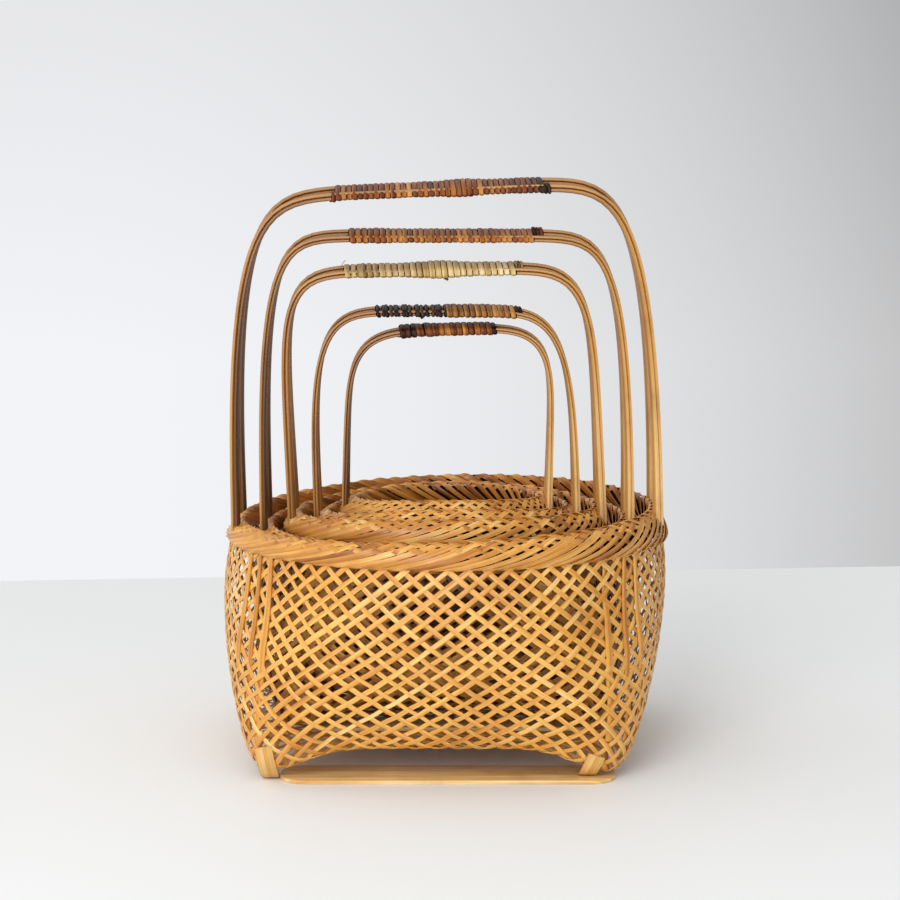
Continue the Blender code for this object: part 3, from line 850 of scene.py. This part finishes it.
def bow_line(b, way, half_count=46):
    """The middle of a bow, from the right foot over the crown to the left one."""
    up, out = BOW_POWERS[b.place]
    height = bow_height(b, way)
    slope = math.atan2(b.foot_spread - b.top_spread, height)
    height /= math.cos(slope)
    t = np.linspace(0, 1, 400) * math.pi / 2
    halves = []
    for side in (1, -1):
        x = np.concatenate([[b.half_span], b.half_span * np.cos(t) ** (2 / out)]) * side
        z = np.concatenate([[foot_depth(b, side, way)], height * np.sin(t) ** (2 / up)])
        run = np.concatenate([[0], np.cumsum(np.hypot(np.diff(x), np.diff(z)))])
        even = np.linspace(0, run[-1], half_count)
        halves.append(np.stack([np.interp(even, run, x), np.interp(even, run, z)]))
    x, z = np.concatenate([halves[0], halves[1][:, -2::-1]], axis=1)
    x, z = as_bent(b, x, z, height)
    y = way * (b.foot_spread - z * math.sin(slope))
    line = np.stack([x, y, bow_base(b) + z * math.cos(slope)], axis=-1)
    outward = unit(np.cross(np.gradient(line, axis=0), (0.0, 1.0, 0.0)))
    return line, outward * np.sign(outward[len(line) // 2, 2])


# %% The bows
# How the tone changes down the legs: at the right it gets lighter, a painted light for the faces turned to
# the window, and at the left the inner layer gets darker on three baskets, a painted shade for the faces
# turned from it.
LEFT_LEG_PAINTED_SHADE = (-0.35, -0.35, 0, 0, -0.25)
RIGHT_LEG_PAINTED_LIGHT = 0.42
# The two layers overlap, so that no light falls between them.
OVERLAP = 1.05


def bow(b, way):
    """The legs are a little thicker than the crown, and turn their inner faces to the front."""
    rng = np.random.default_rng(50 + b.place * 2 + way)
    line, outward = bow_line(b, way)
    along = np.linspace(1, -1, len(line))
    leg = np.abs(along) ** 1.3
    right = along > 0
    twist = np.radians(np.where(right, 34, 16)) * leg
    turned = outward * np.cos(twist)[:, None] + np.outer(np.sin(twist), (0, 1, 0))
    layer = b.bow_thickness / 2 * (1.3 + 0.2 * leg)
    steps = np.arange(len(line))
    groups = []
    for side, tone in ((1, 0.66), (-1, 0.42)):
        waver = 0.12 * MM * np.sin(steps * 0.21 + rng.uniform(0, 6))
        path = line + turned * (side * layer / 2)[:, None] + np.outer(waver, (0, 1, 0))
        wide = b.bow_width * (1 + 0.05 * np.sin(steps * 0.13 + rng.uniform(0, 6)))
        left_leg_painted_shade = (-0.2 if side > 0 else 1) * LEFT_LEG_PAINTED_SHADE[b.place]
        # Painted light on the right legs, and painted shade on the inner layer of the left ones.
        tones = tone + np.where(right, RIGHT_LEG_PAINTED_LIGHT, left_leg_painted_shade) * leg
        tones = tones + 0.03 * np.sin(steps * 0.3 + rng.uniform(0, 6))
        facing = (turned * side)[None]
        groups.append(laid(path[None], facing, wide, layer * OVERLAP, tones[None], round_all=True))
    return groups


for b in baskets:
    for way, side in ((-1, "front"), (1, "rear")):
        node = f"{b.name}_bow_{side}"
        piece(f"{b.name}_{side}_bow", bow(b, way), [bent], b.name, [node])

# %% [markdown]
# ## The cane bindings
# Cane is wound round both bows at the grip, turn against turn. Each turn is a bent length of the
# same flat splint. Turns differ in width, in height and in tone, a few ride up on their neighbours,
# and the ends are tucked in round one rail. The five grips were bound at different times: three are
# red brown, one is pale, and one is dark and twisted. The smallest has a knot at its left end.


# %% How cane is wound
TURN_STATIONS = 19
CANE_THICKNESS = 1.0 * MM


def grip_middle(b, x):
    up, out = BOW_POWERS[b.place]
    height = bow_height(b, 0)
    across = np.minimum(np.abs(x) / b.half_span, 1)
    x, z = as_bent(b, x, height * (1 - across**out) ** (1 / up), height)
    return x, z + bow_base(b)


def wound(b, start, end, turns, tone_at, rng, fat=0, rail=0, loose=0.0, cane=0.88):
    """Turns of cane from start to end, over a lining in near-black painted shade, for the dark between the
    turns. rail names one bow, or 0 for both.
    """
    pitch = (end - start) / turns
    t = np.linspace(0, 1, TURN_STATIONS)
    angle = -math.pi / 2 + 2 * math.pi * t + np.zeros((turns, 1))
    stray = loose * pitch * rng.normal(0, 1, (turns, 1)) * np.sin(math.pi * t)
    x = start + pitch * (np.arange(turns)[:, None] + t) + stray
    swollen = (fat(x) if callable(fat) else fat) + rng.uniform(-0.15, 0.22, (turns, 1)) * MM
    tones = np.clip(tone_at(np.linspace(0, 1, turns)) + rng.normal(-0.03, 0.11, turns), 0, 1)
    groups = []
    # The first layer is the lining, in painted shade, and the second is the cane.
    for sunk, width, finish in ((0.6 * MM, 1.15, 1), (0, cane * rng.uniform(0.9, 1.06, (turns, 1)), 0)):
        wide = b.bow_width / 2 + 0.6 * MM + swollen - sunk + (0 if rail else b.top_spread)
        tall = b.bow_thickness / 2 + 0.75 * MM + swollen - sunk
        y = wide * np.sign(np.cos(angle)) * np.abs(np.cos(angle)) ** 0.6
        z = tall * np.sign(np.sin(angle)) * np.abs(np.sin(angle)) ** 0.6
        y = y + rail * b.top_spread
        z = z + b.rear_rise / 2 * y / b.top_spread
        middle_x, middle_z = grip_middle(b, x)
        paths = np.stack([middle_x, y, z + middle_z], axis=-1)
        facing = np.stack([np.zeros_like(y), np.cos(angle) / wide, np.sin(angle) / tall], axis=-1)
        facing = unit(facing)
        wide = pitch * width
        groups.append(laid(paths, facing, wide, CANE_THICKNESS, tones, finish=finish, round_all=True))
    return groups


def steady(value):
    return lambda t: np.full_like(t, value)


def between(*values):
    return lambda t: np.interp(t, np.linspace(0, 1, len(values)), values)


def swelling(left, length, middle, spread, size):
    return lambda x: size * np.exp(-(((x - left) / length - middle) / spread) ** 2)


def loose_end(points, width, tone):
    """A loose end of cane, or a fibre that has sprung out, along points in millimetres."""
    spots = [np.linspace(a, c, 5)[:-1] for a, c in zip(points, points[1:])]
    path = eased(np.array(spots).reshape(1, -1, 3) * MM, 1)
    facing = np.broadcast_to((0.0, -1.0, 0.3), path.shape)
    return laid(path, facing, width, width * 0.6, np.array([tone]), round_all=True)


print("A turn of cane has", TURN_STATIONS - 1, "lengths.")

# %% The cane bindings
FINISHES = ("red_brown", "red_brown", "pale", "dark", "red_brown")
for b in baskets:
    rng = np.random.default_rng(70 + b.place)
    half = b.half_span * GRIP_HALF_LENGTHS[b.place]
    middle = b.half_span * GRIP_SHIFTS[b.place]
    left, right = middle - half, middle + half
    length = right - left
    if b.place == 0:
        fat = swelling(left, length, 0.61, 0.09, 0.9 * MM)
        tone_at = between(0.62, 0.55, 0.62, 0.5, 0.6, 0.62, 0.5, 0.35)
        groups = wound(b, left, right, 38, tone_at, rng, fat)
        groups += wound(b, right, right + 4 * MM, 2, steady(0.05), rng, rail=-1)
        groups += wound(b, left - 2 * MM, left, 1, steady(0.6), rng, rail=-1)
    elif b.place == 1:
        change = left + 0.2 * length
        groups = wound(b, left, change, 6, between(0.7, 0.65), rng, 0.3 * MM)
        groups += wound(b, change, right, 27, between(0.7, 0.76, 0.7, 0.76, 0.7), rng)
        groups += wound(b, right, right + 6 * MM, 3, steady(0.45), rng, 0.3 * MM, rail=1)
    elif b.place == 2:
        fat = swelling(left, length, 0.55, 0.15, 1.0 * MM)
        change = left + 0.2 * length
        groups = wound(b, left, change, 6, steady(0.6), rng, fat, loose=0.15)
        tone_at = between(0.7, 0.85, 0.75, 0.7, 0.85, 0.75)
        groups += wound(b, change, right, 22, tone_at, rng, fat)
        groups += wound(b, right, right + 5 * MM, 3, steady(0.5), rng, rail=1)
        sprung_fibre = ((-59.4, -9, 270.6), (-58.6, -10, 273.5), (-56.4, -9, 276.0))
        groups.append(loose_end(sprung_fibre, 0.35 * MM, 0.3))
        cane_end = ((-3.5, -10, 267.5), (-1.5, -11, 265.5), (1.5, -11, 264.2))
        groups.append(loose_end(cane_end, 1.3 * MM, 0.1))
    elif b.place == 3:
        change = left + 0.5 * length
        tone_at = between(0.35, 0.2, 0.3, 0.15)
        groups = wound(b, left, change, 17, tone_at, rng, loose=0.3, cane=0.75)
        groups += wound(b, change, right, 12, between(0.65, 0.92, 0.86), rng, 0.3 * MM)
        groups += wound(b, right, right + 4 * MM, 2, steady(0.55), rng, rail=1)
        cane_end = ((-12.0, -8, 245.5), (-13.5, -9, 243.6), (-15.0, -8, 242.8))
        groups.append(loose_end(cane_end, 1.6 * MM, 0.1))
    else:
        knot = left + 0.17 * length
        change = knot + 0.18 * length
        groups = wound(b, left, knot, 3, steady(0.2), rng, 0.7 * MM, loose=0.3)
        groups += wound(b, knot, change, 2, steady(0.6), rng, 0.6 * MM, loose=0.15)
        groups += wound(b, change, right, 10, between(0.6, 0.68, 0.62), rng, 0.35 * MM)
        groups += wound(b, right, right + 2.5 * MM, 1, steady(0.05), rng, 0.1 * MM)
    finish = FINISHES[b.place]
    node = f"{b.name}_binding"
    piece(f"{b.name}_cane_binding", groups, [canes[finish], painted_shade_core], b.name, [node])

# %% [markdown]
# ## The stays
# At each corner of the largest basket, three flat splints stiffen the wall. They start under the
# border, lie on the outside of the plaiting, slip in between the rows half way down, and go on
# behind it to the foot. The first one on the right comes out of the plaiting a little lower.

# %% The stays
big = baskets[0]
# From the corner towards the side in degrees, at the top and half way down, the width in
# millimetres, and the rise where the stay comes out.
STAYS = {
    "left": ((5.3, 2.3, 5.2, 1), (10, 6.8, 3.7, 1), (14.8, 12.8, 4.6, 1)),
    "right": ((-0.6, -3.2, 4.4, 0.73), (5.8, 3.2, 3.9, 1), (10.7, 9.2, 4, 1)),
}
STAY_TOP = 1.04
STAY_FOOT = 0.12
for way, front in ((-1, "front"), (1, "rear")):
    for side, hand in ((-1, "left"), (1, "right")):
        for number, (top, half_way, wide, out_at) in enumerate(STAYS[hand], 1):
            rise = np.linspace(STAY_TOP, STAY_FOOT, 34)
            from_x = np.radians(45 - top + (top - half_way) * (1 - rise) / 0.5)
            turn = np.arctan2(way * np.sin(from_x), side * np.cos(from_x)) / (2 * math.pi)
            path = wall_point(big, turn, rise)[None]
            facing = wall_facing(big, turn, rise)[None]
            # How far it lies outside the wall, in millimetres, from the foot up.
            lifts = (-2, 0.45, 0.45, -2 if out_at < 1 else 0.3)
            lift = np.interp(rise[::-1], (0.42, 0.5, out_at, out_at + 0.06), lifts)[::-1] * MM
            path = eased(path + facing * lift[:, None], 3)
            widths = wide * MM * np.interp(rise[::-1], (0.5, 1), (1, 0.62))[::-1]
            tone = np.array([0.5 + 0.08 * math.sin(number * 2.4)])
            stay = laid(path, facing, widths, 0.8 * MM, tone)
            name = f"{big.name}_stay_splint_{front}_{hand}_{number}"
            node = f"{big.name}_stay_{front}_{hand}_{number}"
            piece(name, [stay], [plaited], big.name, [node])

# %% [markdown]
# ## The ties
# A flat strap lies against each foot of the largest basket, turns under it and is tucked in there.
# The ones at the left reach almost to the table, and the ones at the right end above the lath.

# %% The ties
# Middle, top, bottom and lean, read from the photo.
TIES = {
    "left": (-97.2 * MM, 20 * MM, 0.8 * MM, 3.4 * MM),
    "right": (78 * MM, 15.6 * MM, 2.9 * MM, -5 * MM),
}
TIE_WIDTH = 9.4 * MM
TUCKED_IN = 10 * MM
DOWN = np.array([0, 0.2, 0.4, 0.6, 0.8, 0.95, 1, 1, 1])
UNDER = np.array([0, 0, 0, 0, 0, 0.1, 0.4, 0.7, 1])
for way, front in ((-1, "front"), (1, "rear")):
    for hand, (middle, top, bottom, lean) in TIES.items():
        # The wall stands out the most at the inner edge of the strap.
        inner_edge = middle - math.copysign(TIE_WIDTH / 2, middle) - FOOT_SHIFT
        turn = math.atan2(way * BASE_HALF_SIDE, inner_edge) / (2 * math.pi)
        wall = wall_point(big, turn, np.linspace(0, 0.2, 20))
        z = top - DOWN * (top - bottom)
        out = np.interp(z, wall[:, 2], np.abs(wall[:, 1])) + 0.9 * MM
        y = way * (out - UNDER * TUCKED_IN)
        path = eased(np.stack([middle + lean * (DOWN - 0.5), y, z], axis=-1)[None], 1)
        facing = np.cross(unit(np.gradient(path, axis=1)), (way * -1.0, 0.0, 0.0))
        tie = laid(path, facing, TIE_WIDTH, 0.9 * MM, np.array([0.62]))
        node = f"{big.name}_tie_{front}_{hand}"
        piece(f"{big.name}_tie_strap_{front}_{hand}", [tie], [split], big.name, [node])

# %% [markdown]
# ## The laths
# Two flat laths of split bamboo lie under each basket. A lath is a slab with rounded corners, its
# edges eased by wear, and it has one node, the raised ring where a leaf once grew. It is modelled
# from a cube: bevelled corners first, then bevelled edges, then three cuts at the node, of which
# the middle one is raised.


# %% The laths
# The photo shows the front lath of the largest basket reaching out from under it: the places of
# its left end and of its two long edges.
REACHING_LEFT = -90.5 * MM
REACHING_EDGES = (-107 * MM, -74 * MM)
NODE_RISE = 0.25 * MM


def lath(b, front):
    low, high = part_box(f"{b.name}_lath_{front}")
    if b.place == 0 and front == "front":
        low.x = REACHING_LEFT
        low.y, high.y = REACHING_EDGES
    size = high - low
    bpy.ops.object.select_all(action="DESELECT")
    bpy.ops.mesh.primitive_cube_add(size=1)
    slab = bpy.context.object
    slab.scale = size
    slab.location = (low + high) / 2
    bpy.ops.object.transform_apply(location=True, rotation=True, scale=True)
    bpy.ops.object.mode_set(mode="EDIT")
    bpy.ops.mesh.select_mode(type="EDGE")
    select_edges(slab, lambda a, c: abs(a.z - c.z) > size.z / 2)
    bpy.ops.mesh.bevel(offset=size.y * 0.42, segments=6, affect="EDGES")
    select_edges(slab, lambda a, c: abs(a.z - c.z) < size.z / 4)
    bpy.ops.mesh.bevel(offset=0.45 * MM, segments=2, affect="EDGES")
    node_x = low.x + size.x * 0.35
    for shift in (-1.2, 0, 1.2):
        bpy.ops.mesh.select_all(action="SELECT")
        bpy.ops.mesh.bisect(plane_co=(node_x + shift * MM, 0, 0), plane_no=(1, 0, 0))
    bpy.ops.object.mode_set(mode="OBJECT")
    for corner in slab.data.vertices:
        if abs(corner.co.x - node_x) < 0.1 * MM and corner.co.z > (low.z + high.z) / 2:
            corner.co.z += NODE_RISE
    corners = np.array([v.co for v in slab.data.vertices])
    # The laths take a high tone, 0.85, a painted light that lifts them out of the shade under the basket.
    group = solid(slab, 0.85)
    group["uv"] = corners[:, :2] + corners[:, 2:] * 0.7
    return group


for b in baskets:
    for front in ("front", "rear"):
        name = f"{b.name}_{front}_flat_lath"
        node = f"{b.name}_lath_{front}"
        piece(name, [lath(b, front)], [split], b.name, [node])
